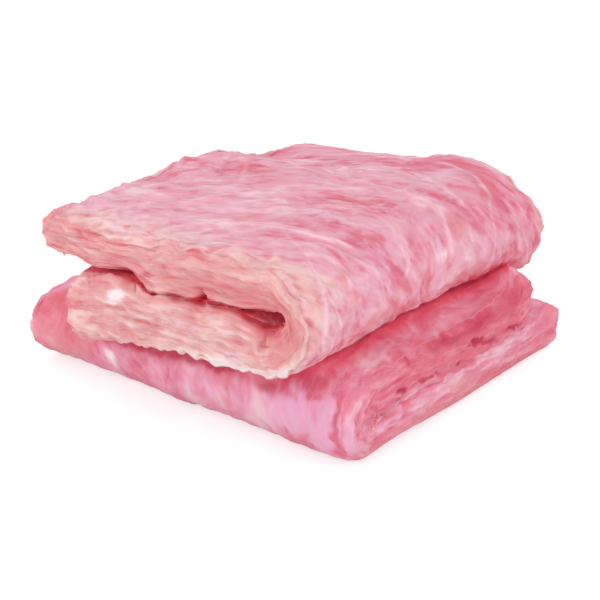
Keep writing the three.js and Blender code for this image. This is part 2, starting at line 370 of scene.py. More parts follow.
upperWool = {
    "seed": 200, "visibleSide": -1, "calm": 1.0, "cutBack": 0.6,
    "lean": [(0, 0), (280, -0.8), (350, -0.6), (420, -0.1), (480, -0.35), (700, -0.5)],
    "skinMarks": {
        # Rose and salmon marks along the fold's underside, lengths 278 to 306, and the pair at length 351
        # near the front are painted shade toward the crease where this batt rests on the lower one.
        "rose": [(558, -122, 22, 7, 0.6, -40), (588, -160, 22, 6, 0.6, -20), (599, -11, 26, 20, 0.7, 50),
                 (479, -9, 16, 10, 0.6), (635, -15, 22, 18, 0.6), (458, -16, 30, 10, 0.9),
                 (382, -98, 12, 7, 0.9, -20), (345, -25, 12, 14, 1.1), (385, 155, 18, 30, 0.9),
                 (359, -31, 14, 10, 0.5), (379, 36, 10, 6, 0.6), (384, 132, 16, 14, 0.7),
                 (360, 127, 12, 12, 0.7), (312, -10, 10, 14, 0.8), (290, 20, 16, 100, 0.9),
                 (535, 64, 18, 8, 0.5), (312, 175, 20, 26, 0.7), (337, 164, 32, 32, 0.85),
                 (278, 110, 9, 90, 1.1), (440, 150, 40, 36, 0.7), (344, 80, 26, 17, 1.1),
                 (306, 102, 10, 12, 0.9), (385, 62, 14, 16, 0.8), (351, -145, 7, 14, 1.2),
                 (381, -149, 8, 11, 0.7), (368, 44, 10, 10, 0.8), (500, 3, 14, 14, 0.8),
                 (284, -130, 6, 60, 1.2)],
        "salmon": [(531, -14, 30, 20, 0.8), (350, 46, 12, 20, 1.0), (500, 30, 20, 10, 0.4, 60),
                   (290, 84, 9, 34, 1.0), (292, -20, 8, 50, 0.9), (296, -104, 8, 34, 0.9),
                   (351, -142, 7, 16, 0.9)],
        "pale": [(620, -105, 10, 26, 0.9), (561, -19, 14, 5, 0.6, 50), (366, 33, 18, 6, 0.9, 60),
                 (325, 134, 14, 8, 0.7), (385, 27, 16, 9, 0.6, -60), (411, -66, 24, 9, 0.7),
                 (563, 95, 16, 8, 0.6, 50), (334, 22, 16, 8, 1.0, 80), (316, 118, 14, 12, 0.5),
                 (381, 13, 10, 8, 0.5), (480, -150, 60, 16, 0.35, 10), (365, -12, 10, 14, 0.8),
                 (375, 116, 9, 13, 0.8), (622, -88, 12, 14, 0.8)],
        "violet": [(531, -155, 18, 12, 0.3), (527, -98, 34, 24, 0.35, 5), (400, -123, 26, 14, 0.4, 50),
                   (354, -76, 20, 16, 0.7), (326, -79, 13, 10, 0.7), (292, 25, 10, 26, 0.5),
                   (345, 20, 22, 12, 0.7, 70)],
        "white": [(331, 17, 8, 5, 0.6)],
        # deep: painted shade on the fold's underside near the crease
        "deep": [(273, -80, 4, 50, 1.0), (283, -125, 6, 55, 1.0), (277, 20, 4, 50, 0.6),
                 (284, 92, 6, 34, 0.8)],
        "cream": [(340, -155, 34, 30, 0.6), (360, -185, 80, 12, 0.8), (540, -180, 110, 22, 0.6),
                  (600, -190, 60, 12, 0.5), (385, -199, 40, 5, 0.8), (418, -195, 14, 8, 0.7)],
    },
    "innerMarks": {
        # deep: painted shade in the pocket inside the fold and in the split near the front
        "deep": [(300, -200, 50, 60, 1.2), (465, -203, 12, 40, 0.6)],
    },
    "cutMarks": {
        "cream": [(185, 46, 75, 6, 1.2), (350, 47, 75, 4.5, 0.9), (24, 36, 22, 10, 0.6),
                  (18, 27, 8, 6, 0.7)],
        "white": [(66, 13, 13, 5.5, 1.3, -12), (215, 48, 80, 6, 0.9)],
        "violet": [(160, 22, 18, 7, 0.5), (207, 36, 22, 6, 0.55), (56, 14, 16, 5, 0.5),
                   (122, 14, 20, 6, 0.45)],
        "pale": [(66, 14, 16, 8, 1.0, -9), (160, 47, 110, 8, 0.8), (150, 26, 70, 6, 0.3, -4),
                 (190, 45, 60, 6, 1.2), (302, 38, 22, 10, 0.6)],
        "rose": [(190, 6, 60, 5, 0.8), (610, 50, 40, 4, 0.6), (20, 20, 12, 14, 0.5)],
        "salmon": [(469, 15, 30, 8, 1.0, -8), (325, 20, 60, 20, 1.3), (100, 4, 60, 5, 0.7),
                   (565, 25, 110, 26, 0.25), (400, 18, 60, 22, 0.7), (256, 6, 24, 8, 1.0),
                   (264, 28, 10, 8, 0.6)],
        # deep: painted shade on the cut face near the fold's pocket and inside the fold's ring
        "deep": [(248, 14, 4, 11, 0.6, 18), (345, 24, 9, 6, 0.33)],
    },
    "pits": [(553, 4, 17, 9, 18), (258, 2, 20, 6, 10), (168, 1, 9, 3, 7), (217, 17, 6, 4, 4),
             (465, 2, 4, 6, 12), (253, 18, 11, 3, 3, -20), (530, 41, 28, 1.8, 3.5, -3),
             (589, 46, 14, 1.6, 3), (469, 11, 20, 4, 4, -8), (610, 44, 5, 2.2, 4, 12),
             (120, 30, 12, 2, 3, -6)],
}
wools = {"lower": lowerWool, "upper": upperWool}
tintNames = ("rose", "salmon", "pale", "violet", "cream", "white", "deep")

# Strands that lie along the skins: strength, then the places (length, wide) they pass through.
strands = {
    "upper": [
        (1.6, [(506, -151), (498, -148), (487, -137), (473, -126), (456, -123), (439, -117), (418, -116),
               (397, -116), (380, -105), (366, -99)]),
        (0.5, [(402, -130), (382, -122), (361, -110), (344, -94), (328, -84)]),
        (0.45, [(420, -197), (407, -199), (384, -200), (372, -200), (359, -199), (344, -198), (322, -196)]),
        (0.7, [(361, -44), (351, -45), (339, -44), (324, -53)]),
        (0.6, [(445, -42), (437, -41), (418, -40), (403, -35), (390, -34), (371, -40)]),
        (0.7, [(467, 107), (447, 107), (406, 86), (376, 77), (354, 81), (337, 83)]),
        (0.7, [(405, 31), (388, 31), (372, 36), (353, 31), (335, 27), (322, 32)]),
        (0.8, [(386, -165), (363, -170), (343, -173), (327, -178), (305, -186)]),
        (0.9, [(617, -191), (580, -194), (533, -200), (499, -200), (472, -197)]),
        (0.7, [(466, -68), (444, -63), (425, -66), (408, -66), (385, -74)]),
        (0.25, [(552, -39), (570, -11), (590, 21)]),
        (0.6, [(456, 155), (420, 147), (379, 131), (352, 130)]),
    ],
    "lower": [
        (0.5, [(453, 198), (478, 196), (515, 186), (547, 178)]),
        (0.6, [(600, 162), (605, 179), (605, 191)]),
    ],
    "step": 1.3, "breadth": 2.5, "reach": 6, "tips": 5, "ridge": 1.2,
    "fibresEach": 3, "startBefore": 0.45, "part": (0.4, 0.55), "spread": 1.3, "stray": 0.8,
    "weave": 0.4, "weaves": 5, "lift": 0.25, "touching": 0.05,
    "more": {"lower": 12, "upper": 24, "step": 17, "steps": (4, 9), "heading": 0.3, "curl": 0.09,
             "shake": 0.12, "strength": (0.2, 0.5), "fromFold": 10, "fromEnd": 3, "fromSide": 4,
             "startFromFold": 30, "startFromEnd": 20, "startFromSide": 13},
}


def throughPoints(points):
    # a smooth line through a few points, cut into even steps
    points = np.asarray(points, float)
    ends = np.concatenate([points[:1] * 2 - points[1:2], points, points[-1:] * 2 - points[-2:-1]])
    t = np.linspace(0, 1, 12, endpoint=False)[:, None]
    bends = [0.5 * (2 * b + (c - a) * t + (2 * a - 5 * b + 4 * c - d) * t ** 2
                    + (3 * b - a - 3 * c + d) * t ** 3)
             for a, b, c, d in zip(ends, ends[1:], ends[2:], ends[3:])]
    line = np.concatenate(bends + [points[-1:]])
    run = np.concatenate([[0], np.cumsum(np.linalg.norm(np.diff(line, axis=0), axis=1))])
    even = np.linspace(0, run[-1], max(8, int(run[-1] / strands["step"])))
    return np.stack([np.interp(even, run, line[:, 0]), np.interp(even, run, line[:, 1])], -1)


def layStrands(batt):
    # the strands above, and weaker ones strewn over the fold and the top leg
    lines = [(strength, throughPoints(points)) for strength, points in strands[batt]]
    dice, more = np.random.default_rng(wools[batt]["seed"] + 1), strands["more"]
    first, last, outermost = stretches(batt)[0], wholeLength(batt), halfWidth - more["startFromSide"]
    for _ in range(more[batt]):
        place = np.array([dice.uniform(first + more["startFromFold"], last - more["startFromEnd"]),
                          dice.uniform(-outermost, outermost)])
        heading, curl = dice.normal(0, more["heading"]), dice.normal(0, more["curl"])
        points = [place]
        for _ in range(dice.integers(*more["steps"])):
            points.append(points[-1] + more["step"] * np.array([math.cos(heading), math.sin(heading)]))
            heading += curl + dice.normal(0, more["shake"])
        points = [p for p in points if first + more["fromFold"] < p[0] < last - more["fromEnd"]
                  and toSide(p[1]) > more["fromSide"]]
        if len(points) > 2:
            lines.append((dice.uniform(*more["strength"]), throughPoints(points)))
    return lines


strandLines = {batt: layStrands(batt) for batt in wools}


def nearStrand(batt, length, wide):
    # the strength of the strand that lies there, falling to 0 a few millimetres beside it
    shape = np.shape(length)
    length, wide = np.ravel(length), np.ravel(wide)
    field = np.zeros(length.shape)
    for strength, line in strandLines[batt]:
        low, high = line.min(0) - strands["reach"], line.max(0) + strands["reach"]
        close = np.nonzero((length > low[0]) & (length < high[0]) & (wide > low[1]) & (wide < high[1]))[0]
        if not len(close):
            continue
        away = (length[close, None] - line[None, :, 0]) ** 2 + (wide[close, None] - line[None, :, 1]) ** 2
        nearest = away.argmin(1)
        t = nearest / (len(line) - 1)
        beside = np.exp(-away[np.arange(len(close)), nearest] / strands["breadth"] ** 2)
        tips = smooth(np.minimum(t, 1 - t) * strands["tips"])
        field[close] = np.maximum(field[close], strength * beside * tips)
    return field.reshape(shape)


# Relief and flow of the skins, as rows for ripples.
skinForm = {
    "sway": [(22, 120, 105, 1.0, 1), (8, 47, 40, 2.0, 2), (2.2, 19, 17, 2.6, 12)],
    "slide": [(20, 100, 80, 3.0, 3), (4, 30, 24, 3.6, 13)],
    "lumps": [(2.8, 90, 60, 0.0, 4, 2), (0.25, 12, 9, 4.5, 8, 2)],
    "puffs": [(2.8, 0.22, [(1, 34, 24, 0.5, 5)]), (1.5, 0.25, [(1, 17, 12, 1.5, 6)])],    # height, bluntness
    "wisps": [(1, 38, 15, 2.5, 7, 2)], "wispHeight": 0.7, "wispNarrow": 1.5, "sunk": 2.1,
    "leanStep": 4.0, "leanMargin": 60,
}


def lean(batt, length):
    # the streaks don't run straight along the strip: how far across they have drifted at each length
    step, margin = skinForm["leanStep"], skinForm["leanMargin"]
    places = np.arange(-margin, wholeLength(batt) + margin, step)
    return np.interp(length, places, np.cumsum(np.interp(places, *zip(*wools[batt]["lean"]))) * step)


def wander(batt, length, wide):
    # the fibres' own coordinates on a skin: along and across the streaks, which sway and curl
    seed = wools[batt]["seed"]
    run = length + ripples(skinForm["slide"], length, wide, seed)
    return run, wide + ripples(skinForm["sway"], length, wide, seed) - lean(batt, length)


def skinRelief(batt, length, wide):
    form, seed = skinForm, wools[batt]["seed"]
    run, over = wander(batt, length, wide)
    puffs = sum(height * np.hypot(ripples(rows, run, over, seed), blunt)
                for height, blunt, rows in form["puffs"])
    wisps = form["wispHeight"] * threads(ripples(form["wisps"], run, over, seed), form["wispNarrow"])
    relief = ripples(form["lumps"], run, over, seed) + puffs + wisps - form["sunk"]
    return wools[batt]["calm"] * relief + strands["ridge"] * nearStrand(batt, length, wide)


# Relief of the cut faces: the layers that part there, what the knife tore, and crevices.
cutForm = {
    "sway": [(2.8, 70, 26, 0.3, 0), (0.8, 22, 12, 1.3, 1)],
    "lumps": [(1.6, 48, 25, 2.3, 2), (1.1, 22, 9, 3.3, 3)],
    "shreds": [(1, 32, 6, 4.3, 4, 2)], "shredHeight": 1.7, "shredNarrow": 1.2,
    "layers": [(1.0, 34, 4.2, 5.3, 5), (0.25, 17, 2.8, 6.3, 6)],
    "lines": [(1, 60, 9, 7.3, 7)], "lineBreadth": 0.13,
    "gates": [(1, 26, 12, 8.3, 8)], "gateFrom": 0.3, "gateEase": 0.3,
    "creviceDeep": 2.0, "pitShadow": 7, "calmRoundFold": 0.6, "foldMargin": 30, "foldEase": 40,
    "sideFringe": [(1.3, 14, 11, 5.0, 23, 2)], "endFringe": [(3.0, 22, 10, 6.0, 24, 2)],
    "cornerReach": 16, "cornerTrim": 1.5, "footReach": 15, "footEase": 11, "footPast": 40, "footShare": 0.85,
    "endShift": 300,    # where the cut ends take their noise from
    "grainStretch": 0.66, "riseScale": 6,
}


def cutSeed(batt, face):
    return wools[batt]["seed"] + 40 + face * 20


def cutSway(batt, length, thick, face):
    return thick + ripples(cutForm["sway"], length, thick, cutSeed(batt, face))


def cutRelief(batt, length, thick, face):
    # how far a cut face stands out, and how deep in a crevice the point lies
    form, wool, seed = cutForm, wools[batt], cutSeed(batt, face)
    first, arc = stretches(batt)[:2]
    margin, ease = form["foldMargin"], form["foldEase"]
    bent = between(length, first - margin, ease, first + arc + margin, ease)
    calmer = 1 - (form["calmRoundFold"] * bent if face and batt == "upper" else 0)
    sway = cutSway(batt, length, thick, face)
    shreds, layers, lines, gates = (ripples(form[name], length, sway, seed)
                                    for name in ("shreds", "layers", "lines", "gates"))
    crevice = (1 - smooth(np.abs(lines) / form["lineBreadth"])) * calmer \
        * smooth((gates - form["gateFrom"]) / form["gateEase"])
    hollow = form["creviceDeep"] * crevice
    if face == wool["visibleSide"]:
        for atLength, atThick, reachL, reachT, deep, *turn in wool["pits"]:
            pit = spot(length, thick, atLength, atThick, reachL, reachT, *turn)
            hollow = hollow + deep * pit
            crevice = np.maximum(crevice, pit * min(1, deep / form["pitShadow"]))
    torn = (form["shredHeight"] * threads(shreds, form["shredNarrow"]) + layers) * calmer
    return ripples(form["lumps"], length, thick, seed) + torn - hollow - wool["cutBack"], crevice


def cutOut(batt, length, wide, thick, face):
    # the same with the torn fringe, for a cut side (-1 or 1) or the cut ends (0)
    form, seed, reach = cutForm, wools[batt]["seed"], cutForm["cornerReach"]
    relief, crevice = cutRelief(batt, length if face else wide + form["endShift"], thick, face)
    if face:
        relief = relief + ripples(form["sideFringe"], length, thick, seed)
    else:
        relief = relief + ripples(form["endFringe"], wide, thick, seed)
    corner = smooth(1 - toSide(wide) / reach) * smooth(1 - toEnd(batt, length) / reach)
    if batt == "lower":    # calmer where it stands on the floor
        foot = smooth((thick - folds[batt]["layer"] + form["footReach"]) / form["footEase"]) \
            * smooth((stretches(batt)[0] + form["footPast"] - length) / form["footPast"])
        relief = relief * (1 - form["footShare"] * foot)
    return relief - form["cornerTrim"] * corner, crevice


# How the edges of the colour marks waver: along and across a skin, and through a cut face. The lips of the
# upper split are painted dark, as shade in the split, from a place on the bottom leg to one on the top leg.
markShake = {
    "along": [(9, 17, 11, 0.7, 11), (4, 7, 5, 1.7, 12)], "across": [(7, 14, 12, 2.7, 13), (3, 6, 5, 3.7, 14)],
    "through": [(2.5, 11, 6, 4.7, 15)], "steady": {"white": 0.4, "deep": 0.3}, "most": 1.2,
}
lips = {"uneven": [(0.6, 13, 1, 5.7, 16)], "line": 0.5, "thick": 6.5, "from": 110, "fromEase": 30,
        "toEnd": 70, "toEndEase": 20, "topFrom": 300, "topShare": 0.9}


def marked(marks, u, v):
    return sum(strength * spot(u, v, atU, atV, reachU, reachV, *turn)
               for atU, atV, reachU, reachV, strength, *turn in marks)


# painted shade along the split between the upper batt's legs
def splitLipShade(length, thick):
    strength = (0.9 + ripples(lips["uneven"], length, lips["line"])) * smooth(1 - thick / lips["thick"]) \
        * smooth((wholeLength("upper") - lips["toEnd"] - length) / lips["toEndEase"])
    rising = smooth((length - lips["from"]) / lips["fromEase"])
    return strength * np.where(length > lips["topFrom"], lips["topShare"], rising)


def tints(batt, length, wide, thick, onCut, face):
    # strength of each colour mark at each point; the deep marks and the upper split's lips are painted shade
    wool = wools[batt]
    inside = thick < folds[batt]["layer"] / 2
    mine = onCut & (face == wool["visibleSide"])
    along = ripples(markShake["along"], length, wide + thick)
    across = ripples(markShake["across"], length, wide)
    cutV = thick + ripples(markShake["through"], length, thick)
    fields = {}
    for name in tintNames:
        steady = np.where(onCut & (name == "deep"), 1.0, markShake["steady"].get(name, 1.0))
        u, v = length + along * steady, wide + across * steady
        field = np.zeros(np.shape(length))
        for where, group, second in ((~onCut & ~inside, "skinMarks", v), (~onCut & inside, "innerMarks", v),
                                     (mine, "cutMarks", cutV)):
            field = field + np.where(where, marked(wool.get(group, {}).get(name, []), u, second), 0)
        if name == "deep" and batt == "upper":
            field = field + np.where(mine, splitLipShade(length, thick), 0)
        fields[name] = np.clip(field, 0, markShake["most"])
    fields["strand"] = np.where(onCut, 0, nearStrand(batt, length, wide))
    return fields


# Where the skins touch the floor or each other, by the share of the way along and by mm across.
touch = {"foldShare": 0.07, "overhangMore": 20, "overhangEase": 30,
         "coverEase": 20, "coverFrom": 0.6, "coverFromEase": 0.06, "leftFrom": 50, "leftEase": 30}


def contact(batt, along, wide):
    # 1 where a skin lies on the floor or against the other batt
    underside = np.where(along <= legShare, 1, smooth(1 - (along - legShare) / touch["foldShare"]))
    fromLeft = wide + halfWidth
    if batt == "upper":
        overhang = upperFold["overhang"] + touch["overhangMore"]
        return underside * smooth((fromLeft - overhang) / touch["overhangEase"])
    covered = smooth((halfWidth - upperFold["setback"] - upperHeight / 3 - wide) / touch["coverEase"]) \
        * smooth((along - touch["coverFrom"]) / touch["coverFromEase"]) \
        * smooth((fromLeft - touch["leftFrom"]) / touch["leftEase"])
    return np.maximum(underside, covered)


# The outer skin near its edges: how it rounds off, tears and frays.
edgeForm = {
    "uneven": [(0.5, 33, 33, 6.0, 9)], "unevenMean": 0.5,
    "round": 1.5, "roundMore": 3.0, "roundReach": 13, "roundReachMore": 14,
    "torn": [(2.6, 19, 17, 8.0, 10, 2)], "tornReach": 26, "standOff": 0.8,
    "scallop": [(1, 11, 11, 3.0, 15, 2)], "scallopReach": 9,
    "scallopUnder": 3.0, "scallopTop": 1.6, "underPast": 20,
    "fray": [(2.6, 13, 14, 9.5, 22, 3)], "followReach": 16, "follow": 0.9,
    "innerSkin": [(0.5, 30, 25, 9.0, 21, 3)], "innerSunk": 0.1, "pressed": -0.2, "pressedTop": -1.2,
    "nearSide": [(8, 24, 14, 7.0, 31)], "nearSideReach": 26, "nearSideShare": 0.75,
}


def skinOut(batt, along, length, wide):
    # height of the outer skin over the plain form
    form = edgeForm
    nearCut = np.minimum(toSide(wide), toEnd(batt, length))
    uneven, torn, scallop = (ripples(form[name], length, wide, wools[batt]["seed"])
                             for name in ("uneven", "torn", "scallop"))
    uneven = uneven + form["unevenMean"]
    rounded = (form["round"] + form["roundMore"] * uneven) \
        * smooth(1 - nearCut / (form["roundReach"] + form["roundReachMore"] * uneven)) ** 2
    underneath = (batt == "upper") & (length < stretches(batt)[0] + form["underPast"])
    scallop = scallop * np.where(underneath, form["scallopUnder"], form["scallopTop"])
    torn = smooth(1 - nearCut / form["tornReach"]) * (torn + form["standOff"]) \
        + smooth(1 - nearCut / form["scallopReach"]) * scallop
    touching = contact(batt, along, wide)
    pressed = np.where((batt == "lower") & (along > 0.5), form["pressedTop"], form["pressed"])
    return (skinRelief(batt, length, wide) - rounded + torn) * (1 - touching) + pressed * touching


def rowsBetween(count, crowd):
    # -1 to 1, with rows crowded toward both ends
    t = np.linspace(-1, 1, count + 1)
    return t * (1 - crowd) + np.sin(t * math.pi / 2) * crowd


# Rows of faces across, along and through each batt. Where a skin lies out of sight, one long face
# stands for each row: from and to, by length and by wide.
blanketMesh = {
    "lower": {"across": 184, "through": 28, "outer": [(20, 305, -185, 185), (478, 735, -80, 118)],
              "inner": [(42, 716, -186, 186)]},
    "upper": {"across": 160, "through": 26, "outer": [(25, 222, -103, 150)], "inner": [(38, 620, -176, 182)]},
    "along": 384, "crowdAcross": 0.35, "crowdAlong": 0.1,
}


def addPiece(name, data):
    piece = bpy.data.objects.new(name, data)
    bpy.context.scene.collection.objects.link(piece)
    return piece


def addMesh(name, points, faces, smoothShaded=True):
    mesh = bpy.data.meshes.new(name)
    mesh.from_pydata(points, [], faces)
    mesh.polygons.foreach_set("use_smooth", [smoothShaded] * len(faces))
    return addPiece(name, mesh)


def addField(mesh, name, values):
    values = np.asarray(values, dtype=np.float32)
    kind = "FLOAT_VECTOR" if values.ndim == 2 else "FLOAT"
    field = mesh.attributes.new(name, kind, "POINT")
    field.data.foreach_set("vector" if values.ndim == 2 else "value", values.ravel())


def readOut(items, name, width, kind=float):
    values = np.empty(len(items) * width, dtype=kind)
    items.foreach_get(name, values)
    return values.reshape(-1, width)


def meshSteps(batt):
    return blanketMesh[batt]["across"], blanketMesh[batt]["through"], blanketMesh["along"]


def blanketFaces(batt, lengthRows, wideRows):
    # the grid places in use (across, through, along), the faces over them, and each face's side:
    # 0 outer skin, 1 inner skin, 2 left cut, 3 right cut, 4 and 5 the cut ends
    nAcross, nThrough, nAlong = meshSteps(batt)
    number, points, faces, patch = {}, [], [], []

    def at(i, j, k):
        if (i, j, k) not in number:
            number[i, j, k] = len(points)
            points.append((i, j, k))
        return number[i, j, k]

    def addSkin(level, kind, zones):
        zones = [(*np.searchsorted(lengthRows, zone[:2]), *np.searchsorted(wideRows, zone[2:]))
                 for zone in zones]
        for k in range(nAlong):
            row = []
            unseen = [zone for zone in zones if zone[0] <= k < zone[1]]
            k0, k1, i0, i1 = unseen[0] if unseen else (0, 0, nAcross, nAcross)
            for i in range(nAcross):
                if i < i0 or i >= i1:
                    row.append([at(i, level, k), at(i + 1, level, k),
                                at(i + 1, level, k + 1), at(i, level, k + 1)])
            if unseen:
                near = [at(i, level, k) for i in (range(i0, i1 + 1) if k == k0 else (i0, i1))]
                far = [at(i, level, k + 1) for i in (range(i0, i1 + 1) if k + 1 == k1 else (i0, i1))]
                row.append(near + far[::-1])
            faces.extend(face if level else face[::-1] for face in row)
            patch.extend([kind] * len(row))

    addSkin(nThrough, 0, blanketMesh[batt]["outer"])
    addSkin(0, 1, blanketMesh[batt]["inner"])
    for k in range(nAlong):
        for j in range(nThrough):
            faces.append((at(0, j, k), at(0, j + 1, k), at(0, j + 1, k + 1), at(0, j, k + 1)))
            faces.append((at(nAcross, j, k), at(nAcross, j, k + 1),
                          at(nAcross, j + 1, k + 1), at(nAcross, j + 1, k)))
            patch.extend((2, 3))
    for i in range(nAcross):
        for j in range(nThrough):
            faces.append((at(i, j, 0), at(i + 1, j, 0), at(i + 1, j + 1, 0), at(i, j + 1, 0)))
            faces.append((at(i, j, nAlong), at(i, j + 1, nAlong),
                          at(i + 1, j + 1, nAlong), at(i + 1, j, nAlong)))
            patch.extend((4, 5))
    return np.array(points), faces, patch


def buildBatt(batt):
    fold, total, seed = folds[batt], wholeLength(batt), wools[batt]["seed"]
    nAcross, nThrough, nAlong = meshSteps(batt)
    sidewaysRows = rowsBetween(nAcross, blanketMesh["crowdAcross"])
    throughRows = (rowsBetween(nThrough, blanketMesh["crowdAcross"]) + 1) / 2
    lengthRows = (rowsBetween(nAlong, blanketMesh["crowdAlong"]) + 1) / 2 * total
    index, faces, patch = blanketFaces(batt, lengthRows, sidewaysRows * halfWidth)
    sideways, depth = sidewaysRows[index[:, 0]], throughRows[index[:, 1]]
    along = lengthToAlong(batt, lengthRows)[index[:, 2]]
    length, wide, thick = alongToLength(batt, along), sideways * halfWidth, depth * fold["layer"]
    onLeft, onRight = index[:, 0] == 0, index[:, 0] == nAcross
    onSide, onEnd = onLeft | onRight, (index[:, 2] == 0) | (index[:, 2] == nAlong)
    onOuter, onInner = index[:, 1] == nThrough, index[:, 1] == 0
    onlyEnd, onCut = onEnd & ~onSide, (onSide | onEnd) & ~onOuter

    # the skins stand out and in, and the rows beside a cut edge go with it
    form = edgeForm
    besideCut = smooth(1 - toSide(wide) / form["followReach"])
    innerOut = besideCut * ripples(form["fray"], length, wide, seed) \
        - form["innerSunk"] - np.abs(ripples(form["innerSkin"], length, wide, seed))
    out = np.where(onInner, innerOut, skinOut(batt, along, length, wide) * depth ** 3)
    (cutL, creviceL), (cutR, creviceR), (cutEnd, creviceEnd) = (cutOut(batt, length, wide, thick, face)
                                                                for face in (-1, 1, 0))
    besideEnd = smooth(1 - toEnd(batt, length) / form["followReach"])
    aside = np.where(wide < 0, -cutL, cutR) * np.where(onSide, 1, besideCut * form["follow"])
    endwise = cutEnd * np.where(onEnd, 1, besideEnd * form["follow"])
    place = lay(batt, along, sideways, depth, out, aside, endwise)
    piece = addMesh(batt + "Batt", place.tolist(), faces)
    mesh = piece.data

    # what the material reads
    run, over = wander(batt, length, wide)
    sway = np.where(wide < 0, *(cutSway(batt, length, thick, face) for face in (-1, 1)))
    cutRun = np.where(onlyEnd, wide + cutForm["endShift"], length) * cutForm["grainStretch"]
    flow = np.where(onCut, (cutRun, sway * 0, sway), (run, over, thick)).T
    crevice = np.where(onLeft, creviceL, np.where(onRight, creviceR, np.where(onlyEnd, creviceEnd, 0)))
    cutRise = np.where(onLeft, cutL, np.where(onRight, cutR, cutEnd))
    fromSide = toSide(wide) + ripples(form["nearSide"], length, wide, seed)
    nearSide = smooth(1 - fromSide / form["nearSideReach"])
    addField(mesh, "flow", flow / 1000)
    # crevices are painted as shade in the material
    addField(mesh, "crevice", crevice)
    addField(mesh, "cutFace", np.where(onCut, 1.0, np.where(onOuter, form["nearSideShare"] * nearSide, 0)))
    addField(mesh, "rise", np.where(onOuter, skinRelief(batt, length, wide), cutRise) / cutForm["riseScale"])
    for name, field in tints(batt, length, wide, thick, onSide & ~onOuter, np.sign(wide)).items():
        addField(mesh, name, field)
    flattenOut(mesh, batt, patch, faces, length, wide, thick)
    shutAway = onInner & (toEnd(batt, length) > hollows["fromEnd"]) & (toSide(wide) > hollows["fromSide"])
    return piece, shutAway


def flattenOut(mesh, batt, patch, faces, length, wide, thick):
    # the flat blanket's six faces side by side on one square
    layer, width, gap = folds[batt]["layer"], stock["width"], 8
    row = 2 * (width + gap)
    flat = [
        (length, wide + halfWidth), (length, wide + halfWidth + width + gap),
        (length, thick + row), (length, thick + row + layer + gap),
        (wide + halfWidth, thick + row + 2 * (layer + gap)),
        (wide + halfWidth + width + gap, thick + row + 2 * (layer + gap)),
    ]
    size = row + 3 * (layer + gap) + gap
    corners = np.concatenate([np.stack([flat[kind][0][list(face)], flat[kind][1][list(face)]], -1)
                              for face, kind in zip(faces, patch)])
    uvLayer = mesh.uv_layers.new(name="OFBake")
    uvLayer.data.foreach_set("uv", ((corners + gap / 2) / size).astype(np.float32).ravel())


# How shut in each point of the wool is, told by short rays: tight is the reach at close quarters.
# An inner skin farther than fromEnd and fromSide from the cuts gets no rays: it is shut in all over.
# The material paints these as shade: red in the hollows, dark where they are tightest, with a painted glow.
hollows = {"seed": 5, "rays": 10, "quickRays": 5, "reach": 0.055, "tight": 0.018, "farWeight": 0.6,
           "standOff": 0.0012, "tilt": 1.02, "smoothing": 3, "ownWeight": 2.0,
           "fromEnd": 60, "fromSide": 38}


def shutAround(tree, place, normal, rays, dice):
    # how shut in one point is, in all and at close quarters
    reach, tight = hollows["reach"], hollows["tight"]
    ways = dice.normal(size=(rays, 3))
    ways = ways / np.linalg.norm(ways, axis=1, keepdims=True) + normal * hollows["tilt"]
    begin = Vector(place + normal * hollows["standOff"])
    far = near = 0.0
    for way in ways:
        hit = tree.ray_cast(begin, Vector(way), reach)[3]
        if hit is not None:
            far += 1 - hollows["farWeight"] * hit / reach
            near += max(0.0, 1 - hit / tight)
    return far / rays, near / rays


def markHollows(pieces):
    # stores the hollows on the batts, and gives the same for any place near them, for the fibres
    points = [readOut(piece.data.vertices, "co", 3) for piece, unseen in pieces]
    polygons, start = [], 0
    for piece, unseen in pieces:
        polygons.extend([tuple(v + start for v in p.vertices) for p in piece.data.polygons])
        start += len(piece.data.vertices)
    tree = BVHTree.FromPolygons(np.concatenate(points).tolist(), polygons)
    dice = np.random.default_rng(hollows["seed"])
    rays = hollows["rays"]
    found, outward = [], []
    for (piece, unseen), places in zip(pieces, points):
        mesh = piece.data
        normals = readOut(mesh.vertices, "normal", 3)
        shut = np.ones((len(places), 2))
        for v in np.nonzero(~unseen)[0]:
            shut[v] = shutAround(tree, places[v], normals[v], rays, dice)
        edges = readOut(mesh.edges, "vertices", 2, np.int64)
        for _ in range(hollows["smoothing"]):
            total, number = shut * hollows["ownWeight"], np.full((len(places), 1), hollows["ownWeight"])
            for a, b in ((0, 1), (1, 0)):
                np.add.at(total, edges[:, a], shut[edges[:, b]])
                np.add.at(number, edges[:, a], 1)
            shut = total / number
        addField(mesh, "hollow", shut[:, 0])
        addField(mesh, "tight", shut[:, 1])
        found.append(shut)
        outward.append(normals)
    everywhere = KDTree(start)
    for i, place in enumerate(np.concatenate(points)):
        everywhere.insert(place, i)
    everywhere.balance()
    return everywhere, np.concatenate(found), np.concatenate(outward)


class Value:
    # a socket that plain expressions can add, subtract and multiply
    def __init__(self, look, socket):
        self.look, self.socket = look, socket

    def __add__(self, other):
        return self.look.maths("ADD", self, other)

    def __radd__(self, other):
        return self.look.maths("ADD", other, self)

    def __sub__(self, other):
        return self.look.maths("SUBTRACT", self, other)

    def __rsub__(self, other):
        return self.look.maths("SUBTRACT", other, self)

    def __mul__(self, other):
        return self.look.maths("MULTIPLY", self, other)

    def __rmul__(self, other):
        return self.look.maths("MULTIPLY", other, self)

    def held(self):
        # between 0 and 1
        return self.look.maths("ADD", self, 0.0, clamp=True)

    def span(self, low, high):
        # 0 at low, 1 at high, eased between
        return self.look.node("ShaderNodeMapRange", {"interpolation_type": "SMOOTHSTEP"},
                              {"Value": self, "From Min": low, "From Max": high})


